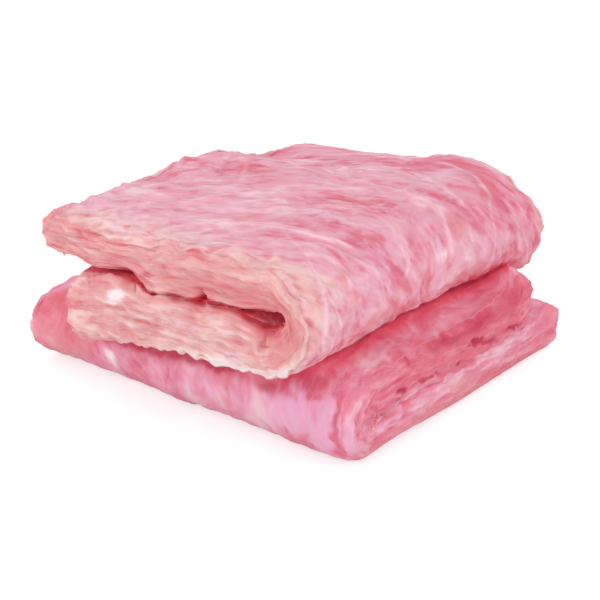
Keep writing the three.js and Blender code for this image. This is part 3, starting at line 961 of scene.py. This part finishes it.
class Look:
    # the nodes of a material or of the world
    def __init__(self, owner):
        owner.use_nodes = True
        self.owner, self.nodes, self.links = owner, owner.node_tree.nodes, owner.node_tree.links
        self.nodes.clear()

    def node(self, kind, settings=None, inputs=None, output=0):
        made = self.nodes.new(kind)
        for key, value in (settings or {}).items():
            setattr(made, key, value)
        for key, value in (inputs or {}).items():
            if isinstance(value, Value):
                self.links.new(value.socket, made.inputs[key])
            else:
                made.inputs[key].default_value = value
        return Value(self, made.outputs[output])

    def maths(self, operation, *values, clamp=False):
        settings = {"operation": operation, "use_clamp": clamp}
        return self.node("ShaderNodeMath", settings, dict(enumerate(values)))

    def field(self, name, output="Fac"):
        return self.node("ShaderNodeAttribute", {"attribute_name": name}, None, output)

    def noise(self, place, scale, stretch, shift, detail=3.0, rough=0.55):
        moved = self.node("ShaderNodeMapping", None, {"Vector": place, "Scale": stretch, "Location": shift})
        return self.node("ShaderNodeTexNoise", {"noise_dimensions": "3D"},
                         {"Vector": moved, "Scale": scale, "Detail": detail, "Roughness": rough})

    def blend(self, amount, first, second):
        return self.node("ShaderNodeMix", {"data_type": "RGBA"}, {0: amount, 6: first, 7: second}, 2)

    def surface(self, shader, output="ShaderNodeOutputMaterial"):
        self.links.new(shader.socket, self.nodes.new(output).inputs[0])
        return self.owner


def shade(red, green, blue):
    # a colour as a screen shows it, 0 to 255, in the linear values that a shader takes
    return (*[((c / 255 + 0.055) / 1.055) ** 2.4 for c in (red, green, blue)], 1.0)


# Each batt's red, dark and glow colours are painted shade and painted glow for its hollows; deep is the
# colour of the painted shade marks, the split's red is painted shade along the upper split, and the fibres'
# light colour is their painted glow. The lower batt's cut colour is rosier than its skin, partly the cut
# wool's own colour and partly painted shade on its sides.
dyes = {
    "lower": {"skin": shade(236, 157, 178), "cut": shade(233, 138, 160), "cutPale": shade(240, 194, 206),
              "shadeRed": shade(235, 110, 136), "shadeDark": shade(192, 64, 86), "hollowGlow": shade(200, 50, 84),
              "contrast": 0.75, "warmth": 0.4},
    "upper": {"skin": shade(234, 164, 179), "cut": shade(229, 164, 165), "cutPale": shade(243, 212, 206),
              "shadeRed": shade(212, 84, 98), "shadeDark": shade(132, 22, 30), "hollowGlow": shade(150, 16, 26),
              "contrast": 0.85, "warmth": 1.0},
    "pale": shade(243, 204, 211), "rose": shade(220, 100, 128), "salmon": shade(224, 118, 120),
    "violet": shade(236, 184, 214), "cream": shade(243, 213, 205), "white": shade(252, 238, 238),
    "silk": shade(254, 208, 218), "deep": shade(196, 52, 84), "fibreLight": shade(255, 160, 178),
    "splitShade": shade(182, 44, 54), "black": (0, 0, 0, 1),
    "marks": {"salmon": 0.5, "violet": 0.65, "cream": 0.65, "white": 1.0},    # how strongly each covers
    "roughness": 0.92, "specular": 0.06, "bump": 0.1, "bumpHeight": 0.003, "glow": 0.2, "fibreGlow": 0.3,
    "sheen": 0.04, "sheenRoughness": 0.6, "sheenTint": (1.0, 0.88, 0.92, 1),
    "softness": 0.6, "softRadius": (1.0, 0.3, 0.3), "softDepth": 0.009,
}

# Noise in the fibres' own coordinates: scale, stretch, shift, detail and roughness.
grains = {
    "broad": (16, (0.8, 1, 1), (0, 0, 0), 2), "drift": (36, (0.6, 1, 1.8), (6, 2, 1), 2),
    "blotch": (46, (0.7, 1, 1.6), (3, 1, 0), 3), "puff": (84, (0.7, 1, 2.3), (1, 4, 2), 2, 0.5),
    "streak": (110, (0.27, 1, 1.8), (4, 6, 2), 1, 0.45), "mottle": (140, (0.85, 1, 1.9), (7, 3, 1), 1, 0.45),
    "strand": (240, (0.25, 1, 1.3), (5, 0, 3), 1, 0.5), "fine": (620, (0.2, 1, 1.3), (2, 2, 2), 2, 0.6),
}


def woolMaterial(batt, spun=False):
    # one look for the batt itself and, a little paler, for the fibres spun along it
    m = Look(bpy.data.materials.new(batt + ("Fibre" if spun else "GlassWool")))
    dye = dyes[batt]
    flow = m.field("flow", "Vector")
    grain = {name: m.noise(flow, *row) - 0.5 for name, row in grains.items() if not (spun and name == "fine")}
    cut, rise, crevice = m.field("cutFace"), m.field("rise"), m.field("crevice")
    hollow, tight = m.field("hollow"), m.field("tight")

    # tone runs from deep pink below 0 to pale above it
    loose = (grain["puff"] * (1.2 + cut) + grain["mottle"] * (0.8 - cut * 0.3) + grain["strand"] * (cut * 0.3)
             + grain["streak"] * (0.2 + cut * 0.8)) * dye["contrast"]
    # rise paints raised relief paler, a painted highlight, and its low places rosier, painted shade
    tone = loose + grain["broad"] * 1.3 + grain["drift"] * 1.3 + rise * 0.34 \
        + m.field("pale") * 0.35 - m.field("rose") * 0.38 - 0.04
    base = m.blend(cut, dye["skin"], dye["cut"])
    base = m.blend((grain["blotch"] - cut * 0.02).span(-0.06, 0.16) * (cut * 0.15 + 0.3), base,
                   m.blend(cut, dyes["violet"], dye["cutPale"]))
    warm = m.blend((grain["blotch"] + cut * 0.06).span(-0.16, 0.16) * (cut * 0.6 + 0.4) * dye["warmth"],
                   dyes["rose"], dyes["salmon"])
    base = m.blend((0 - tone).span(-0.04, 0.66) * 0.85, base, warm)
    base = m.blend(tone.span(-0.04, 0.6) * 0.85, base, m.blend(cut * 0.7, dyes["pale"], dye["cutPale"]))
    for name, most in dyes["marks"].items():
        mark = m.field(name)
        base = m.blend((mark + loose * 1.2).span(0.0, 1.1) * mark.span(0.0, 0.6) * most, base, dyes[name])

    # painted shade: hollows, tight places and crevices are painted red, as light through the wool would tint
    # them, and dark where they are tightest
    red = (hollow * 0.9 + tight * 0.5 + crevice * 0.45 - loose * 0.7).span(0.16, 0.95)
    base = m.blend((m.field("strand") * (1.2 + loose * 1.2)).held() * (1 - red) * 0.85, base, dyes["silk"])
    base = m.blend(red * 0.9, base, dye["shadeRed"])
    base = m.blend((hollow * 0.45 + tight * 0.75 + crevice * 0.3).span(0.66, 1.12), base, dye["shadeDark"])
    # painted shade from the deep marks; on the upper batt only where it is shut in, with the split's own dark
    # red on its cut faces
    if batt == "lower":
        deep = (m.field("deep") + loose * (cut * 0.35)).span(0.05, 1.1) * (cut * 0.15 + 0.75)
        base = m.blend(deep, base, dyes["deep"])
    else:
        deep = (m.field("deep") * (hollow + cut * 0.6).span(0.15, 0.6)).span(0.05, 0.95) * 0.92
        base = m.blend(deep, base, m.blend(cut, dye["shadeDark"], dyes["splitShade"]))

    inputs = {"Roughness": dyes["roughness"], "Specular IOR Level": dyes["specular"]}
    if spun:
        # painted light: the fibres glow, paler in the bundles and red where the wool beneath is painted as
        # shade, so that their own shading stays light
        own = m.field("tone")
        bundle = (own - 1).held()
        base = m.blend((own * 0.1 + bundle * 0.6).held() * (1 - red * 0.8), base, dyes["silk"])
        glow = m.blend(red, m.blend(bundle * 0.8 + 0.35, dyes["black"], dyes["fibreLight"]), dye["hollowGlow"])
        inputs.update({"Emission Strength": dyes["fibreGlow"]})
    else:
        # painted glow: hollows and crevices give off red light of their own
        glow = m.blend((hollow + crevice * 0.2).span(0.2, 0.7), dyes["black"], dye["hollowGlow"])
        height = grain["strand"] * 0.2 + grain["fine"] * 0.04 + grain["puff"] * 0.5 + grain["mottle"] * 0.5
        bump = {"Strength": dyes["bump"], "Distance": dyes["bumpHeight"], "Height": height}
        inputs.update({"Normal": m.node("ShaderNodeBump", None, bump), "Emission Strength": dyes["glow"],
                       "Sheen Weight": dyes["sheen"], "Sheen Roughness": dyes["sheenRoughness"],
                       "Sheen Tint": dyes["sheenTint"], "Subsurface Weight": dyes["softness"],
                       "Subsurface Radius": dyes["softRadius"], "Subsurface Scale": dyes["softDepth"]})
    inputs.update({"Base Color": base, "Emission Color": glow})
    return m.surface(m.node("ShaderNodeBsdfPrincipled", None, inputs))


pieces = []
for batt in ("lower", "upper"):
    piece, inner = buildBatt(batt)
    piece.data.materials.append(woolMaterial(batt))
    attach(piece, "root")
    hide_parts(batt + "_batt")
    pieces.append((piece, inner))
    print(batt, "batt:", len(piece.data.vertices), "points,", len(piece.data.polygons), "faces")
nearWool, shutIn, woolNormals = markHollows(pieces)
print("hollows marked")

# Loose fibres: thin tubes that lie on the skins and stand off at the cut edges. Most lie close, and
# some are loose and lift at both ends.
fibres = {
    "lower": {"skin": 800, "cut": 700, "end": 300}, "upper": {"skin": 1400, "cut": 1000, "end": 400},
    "quickShare": 0.3, "thickness": 0.18, "taper": 0.85, "flat": 0.15, "points": 7, "shortest": 9,
    "length": {"skin": 11, "cut": 6, "end": 6}, "astray": {"skin": 0.55, "cut": 0.3, "end": 0.3},
    "curl": 0.7, "sway": 0.18, "swayTurn": 7, "looseShare": 0.15, "looseLift": 1.2, "closeLift": 0.1,
    "overSkin": 0.15, "overCut": 0.3, "overStrand": 0.2, "lowest": 0.0006,
    "touching": 0.02, "beforeFold": 10, "inset": 1, "rim": 0.5, "endRim": 2, "cutSlant": 0.4,
    "endSlant": 0.5, "endRun": 0.6, "uneven": (0.6, 1.3), "corners": (0, 2.094, 4.189), "roundness": 0.2,
    "mapColumns": 12, "mapWidth": 0.9, "mapHeight": 0.8,
}


def offWool(batt, kind, length, wide, thick, off):
    # points that stand off the wool by off, the way out of it, and the fibres' own coordinates there
    along, depth = lengthToAlong(batt, length), thick / folds[batt]["layer"]
    skin = skinOut(batt, along, length, wide) * depth ** 3
    out, aside, endwise = kind == "skin", (kind == "cut") * np.sign(wide), kind == "end"
    low, high = (lay(batt, along, wide / halfWidth, depth, skin + out * away, aside * away, endwise * away)
                 for away in (off, off + 1))
    if kind == "skin":
        flow = (*wander(batt, length, wide), thick)
    else:
        run = length if kind == "cut" else wide + cutForm["endShift"]
        flow = (run, 0, np.where(wide < 0, *(cutSway(batt, length, thick, face) for face in (-1, 1))))
    return low, unit(high - low), np.stack(np.broadcast_arrays(*flow), -1)


def fibrePaths(batt, kind, count, seed):
    # centre lines, their outward normals, and the places they lie at on the flat blanket
    dice = np.random.default_rng(seed)
    total, steps, layer = wholeLength(batt), fibres["points"], folds[batt]["layer"]
    inset, rim, endRim, column = fibres["inset"], fibres["rim"], fibres["endRim"], (count, 1)
    t = np.linspace(0, 1, steps)[None, :]
    step = (dice.gamma(3.0, fibres["length"][kind], column) + fibres["shortest"]) / (steps - 1)
    curl = dice.normal(0, fibres["curl"], column)
    heading = dice.normal(0, fibres["astray"][kind], column)
    phase = dice.uniform(0, 6.28, column)
    bend = heading + curl * (t - 0.5) + fibres["sway"] * np.sin(phase + t * fibres["swayTurn"])
    run, over = np.cumsum(np.cos(bend), 1) * step, np.cumsum(np.sin(bend), 1) * step
    isLoose = dice.uniform(size=column) < fibres["looseShare"]
    lift = np.where(isLoose, fibres["looseLift"], fibres["closeLift"]) * dice.gamma(2.0, 1.0, column)
    lift = lift * (2 * t - 1) ** 4
    keep = np.ones(count, bool)
    if kind == "skin":
        start = stretches(batt)[0] - fibres["beforeFold"]
        u = np.clip(dice.uniform(start, total, column) + run, inset, total - inset)
        v = dice.uniform(-halfWidth, halfWidth, column) + over + lean(batt, u) - lean(batt, u[:, :1])
        v = np.clip(v, rim - halfWidth, halfWidth - rim)
        thick = np.full(u.shape, float(layer))
        off = fibres["overSkin"] + lift
        keep = contact(batt, lengthToAlong(batt, u), v).max(1) < fibres["touching"]
    elif kind == "cut":
        v = np.broadcast_to(dice.choice([-1, 1], column) * halfWidth, lift.shape)
        u = np.clip(dice.uniform(0, total, column) + run, inset, total - inset)
        thick = np.clip(dice.uniform(0, layer, column) + over * fibres["cutSlant"], rim, layer - rim)
        off = np.where(v < 0, *(cutOut(batt, u, v, thick, face)[0] for face in (-1, 1)))
        off = off + fibres["overCut"] + lift
    else:
        v = dice.uniform(2 * endRim - halfWidth, halfWidth - 2 * endRim, column) + run * fibres["endRun"]
        v = np.clip(v, endRim - halfWidth, halfWidth - endRim)
        thick = np.clip(dice.uniform(0, layer, column) + over * fibres["endSlant"], inset, layer - inset)
        u = np.broadcast_to(dice.choice([0.0, 1.0], column) * total, v.shape)
        off = cutOut(batt, u, v, thick, 0)[0] + fibres["overCut"] + lift
    line, normal, flow = offWool(batt, kind, u, v, thick, off)
    keep &= line[..., 2].min(1) > fibres["lowest"]
    strength, onCut = np.zeros(count), np.full(count, kind != "skin")
    return [values[keep] for values in (line, normal, u, v, thick, strength, onCut, flow)]


def strandPaths(batt, seed):
    # a bundle of fibres along every strand
    dice = np.random.default_rng(seed)
    steps, parts = fibres["points"] * 2, []
    for strength, line in strandLines[batt]:
        way = unit(np.gradient(line, axis=0))
        for _ in range(round(strands["fibresEach"] * (0.5 + strength))):
            start = dice.uniform(0, strands["startBefore"])
            at = np.linspace(start, start + dice.uniform(*strands["part"]), steps) * (len(line) - 1)
            u, v, wayU, wayV = (np.interp(at, np.arange(len(line)), values)
                                for values in (line[:, 0], line[:, 1], way[:, 0], way[:, 1]))
            aside = dice.normal(0, strands["spread"]) \
                + dice.normal(0, strands["stray"]) * np.linspace(-1, 1, steps) \
                + strands["weave"] * np.sin(dice.uniform(0, 6) + np.linspace(0, strands["weaves"], steps))
            parts.append((u - wayV * aside, v + wayU * aside, dice.gamma(2.0, strands["lift"]), strength))
    u, v, rise, strength = (np.array(values) for values in zip(*parts))
    v = np.clip(v, fibres["rim"] - halfWidth, halfWidth - fibres["rim"])
    thick = np.full(u.shape, float(folds[batt]["layer"]))
    line, normal, flow = offWool(batt, "skin", u, v, thick, fibres["overStrand"] + rise[:, None])
    keep = (contact(batt, lengthToAlong(batt, u), v).max(1) < strands["touching"]) \
        & (line[..., 2].min(1) > fibres["lowest"])
    onCut = np.zeros(len(u), bool)
    return [values[keep] for values in (line, normal, u, v, thick, strength, onCut, flow)]


def makeTubes(name, line, normal, dice):
    # closed three-sided tubes along the centre lines
    count, steps = line.shape[:2]
    across = unit(np.cross(unit(np.gradient(line, axis=1)), normal))
    t = np.linspace(-1, 1, steps)[None, :, None]
    radius = fibres["thickness"] / 1000 * dice.uniform(*fibres["uneven"], (count, 1, 1))
    radius = radius * (1 - fibres["taper"] * t ** 6)
    rings = [line + radius * (fibres["flat"] * math.cos(a) * normal + math.sin(a) * across)
             for a in fibres["corners"]]
    points = np.stack(rings, 2).reshape(-1, 3)    # fibre, step, corner
    points[:, 2] = np.maximum(points[:, 2], 0.0001)
    start = (np.arange(count) * steps * 3)[:, None, None]
    near, corner = start + np.arange(steps - 1)[None, :, None] * 3, np.arange(3)[None, None, :]
    after = (corner + 1) % 3
    sides = np.stack([near + corner, near + after, near + 3 + after, near + 3 + corner], -1).reshape(-1, 4)
    first, last = start[:, 0] + np.array([0, 2, 1]), start[:, 0] + (steps - 1) * 3 + np.array([0, 1, 2])
    piece = addMesh(name, points.tolist(), sides.tolist() + first.tolist() + last.tolist())
    return piece, points.reshape(count, steps, 3, 3), len(sides)


def everyStep(values, steps):
    # from every other step to all of them
    return np.stack([np.interp(np.arange(steps), np.arange(0, steps, 2), row) for row in values])


def mapTubes(mesh, count, steps, sides):
    # one small cell of the map for each fibre
    columns = fibres["mapColumns"]
    rows = math.ceil(count / columns)
    point = readOut(mesh.loops, "vertex_index", 1, np.int64)[:, 0]
    fibre, rest = point // (steps * 3), point % (steps * 3)
    unitX, unitY = fibres["mapWidth"] / columns, fibres["mapHeight"] / rows
    uv = np.stack([(fibre % columns) / columns + rest // 3 / (steps - 1) * unitX + 0.05 / columns,
                   (fibre // columns) / rows + rest % 3 / 3 * unitY + 0.1 / rows], -1)
    wrap = np.arange(sides * 4).reshape(-1, 4)
    corner = point[wrap] % 3
    uv[wrap[(corner == 0) & (corner[:, :1] == 2)], 1] += unitY    # the side that closes the ring
    mesh.uv_layers.new(name="OFBake").data.foreach_set("uv", uv.astype(np.float32).ravel())


def spinFibres(name, batt, parts, seed):
    line, normal, u, v, thick, strength, onCut, flow = (np.concatenate(part) for part in zip(*parts))
    dice = np.random.default_rng(seed + 9)
    count, steps = line.shape[:2]
    piece, points, sides = makeTubes(name, line, normal, dice)
    mesh = piece.data

    # fibres take the light as the wool beneath them does
    beneath = np.array([nearWool.find(place)[1] for place in line[:, ::2].reshape(-1, 3)]).reshape(count, -1)
    leaning = np.stack([everyStep(woolNormals[beneath][..., axis], steps) for axis in range(3)], -1)
    facing = leaning[:, :, None, :] + fibres["roundness"] * unit(points - line[:, :, None, :])
    mesh.normals_split_custom_set_from_vertices(unit(facing).reshape(-1, 3).tolist())

    u, v, thick = (np.repeat(values.ravel(), 3) for values in (u, v, thick))    # for each corner of a ring
    onCut = np.repeat(onCut, steps * 3)
    addField(mesh, "tone", np.repeat(dice.uniform(size=count) + strength, steps * 3))
    addField(mesh, "cutFace", onCut * 1.0)
    # the fibres take the wool's hollows too, for the painted shade
    for i, field in enumerate(("hollow", "tight")):
        addField(mesh, field, np.repeat(everyStep(shutIn[beneath][..., i], steps).ravel(), 3))
    addField(mesh, "flow", np.repeat(flow.reshape(-1, 3), 3, 0) / 1000)
    for tint, field in tints(batt, u, v, thick, onCut, np.sign(v)).items():
        addField(mesh, tint, field)
    mapTubes(mesh, count, steps, sides)
    return piece


for batt, seed in (("lower", 300), ("upper", 400)):
    share = 1
    parts = [fibrePaths(batt, kind, int(fibres[batt][kind] * share), seed + i)
             for i, kind in enumerate(("skin", "cut", "end"))]
    loosePiece = spinFibres(batt + "Fibres", batt, parts, seed)
    strandPiece = spinFibres(batt + "Strands", batt, [strandPaths(batt, seed + 50)], seed + 60)
    look = woolMaterial(batt, spun=True)
    for piece in (loosePiece, strandPiece):
        piece.data.materials.append(look)
        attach(piece, "root")
        print(piece.name, len(piece.data.polygons), "faces")

# Stage, light and camera. The floor looks white to the camera, and lights the batts less than that.
studio = {
    "floorHalf": 4.0, "floorLit": (0.6, 0.6, 0.6, 1), "floorBounce": (0.86, 0.86, 0.86, 1), "floorGlow": 0.62,
    "worldStrength": 0.9, "white": (1, 1, 1, 1), "aim": (0, 0, 0.1),
    "lamps": {    # place, size and power
        "keyLamp": ((-1.2, -2.3, 1.1), 1.8, 15), "fillLamp": ((2.5, -0.6, 0.9), 1.8, 11),
    },
}


def makeFloor():
    half, white = studio["floorHalf"], studio["white"]
    corners = [(-half, -half, 0), (half, -half, 0), (half, half, 0), (-half, half, 0)]
    floor = addMesh("studioFloor", corners, [(0, 1, 2, 3)], smoothShaded=False)
    m = Look(bpy.data.materials.new("studioPaper"))
    lit = m.node("ShaderNodeBsdfDiffuse", None, {"Color": studio["floorLit"]})
    bounce = m.node("ShaderNodeBsdfDiffuse", None, {"Color": studio["floorBounce"]})
    glow = m.node("ShaderNodeEmission", None, {"Color": white, "Strength": studio["floorGlow"]})
    both = m.node("ShaderNodeAddShader", None, {0: lit, 1: glow})
    seen = m.maths("MAXIMUM", *(m.node("ShaderNodeLightPath", None, None, ray)
                                for ray in ("Is Camera Ray", "Is Glossy Ray")))
    floor.data.materials.append(m.surface(m.node("ShaderNodeMixShader", None, {0: seen, 1: bounce, 2: both})))


def makeLamp(name, place, size, power):
    light = bpy.data.lights.new(name, "AREA")
    light.shape, light.size, light.energy = "SQUARE", size, power
    lamp = addPiece(name, light)
    lamp.location = place
    lamp.rotation_euler = (Vector(studio["aim"]) - Vector(place)).to_track_quat("-Z", "Y").to_euler()


def makeWorld():
    bpy.context.scene.world = bpy.data.worlds.new("studioWorld")
    m = Look(bpy.context.scene.world)
    white = studio["white"]
    soft = m.node("ShaderNodeBackground", None, {"Color": white, "Strength": studio["worldStrength"]})
    plain = m.node("ShaderNodeBackground", None, {"Color": white})
    seen = m.node("ShaderNodeLightPath", None, None, "Is Camera Ray")
    m.surface(m.node("ShaderNodeMixShader", None, {0: seen, 1: soft, 2: plain}), "ShaderNodeOutputWorld")


view = {"azimuth": 37.37, "elevation": 22.61, "distance": 1.83, "lens": 109.0, "sensor": 36,
        "aim": (0.01227 + middleX / 1000, 0.17919 + frontY / 1000, 0.06495)}


def makeCamera():
    turn, rise = math.radians(view["azimuth"]), math.radians(view["elevation"])
    toward = Vector((math.sin(turn) * math.cos(rise), -math.cos(turn) * math.cos(rise), math.sin(rise)))
    camera = addPiece("frontCamera", bpy.data.cameras.new("frontCamera"))
    camera.data.lens, camera.data.sensor_width = view["lens"], view["sensor"]
    camera.location = Vector(view["aim"]) + toward * view["distance"]
    camera.rotation_euler = (-toward).to_track_quat("-Z", "Y").to_euler()
    bpy.context.scene.camera = camera


makeFloor()
makeWorld()
for name, lamp in studio["lamps"].items():
    makeLamp(name, *lamp)
makeCamera()
bpy.context.scene.view_settings.view_transform = "Standard"
print("stage, lamps and camera set")
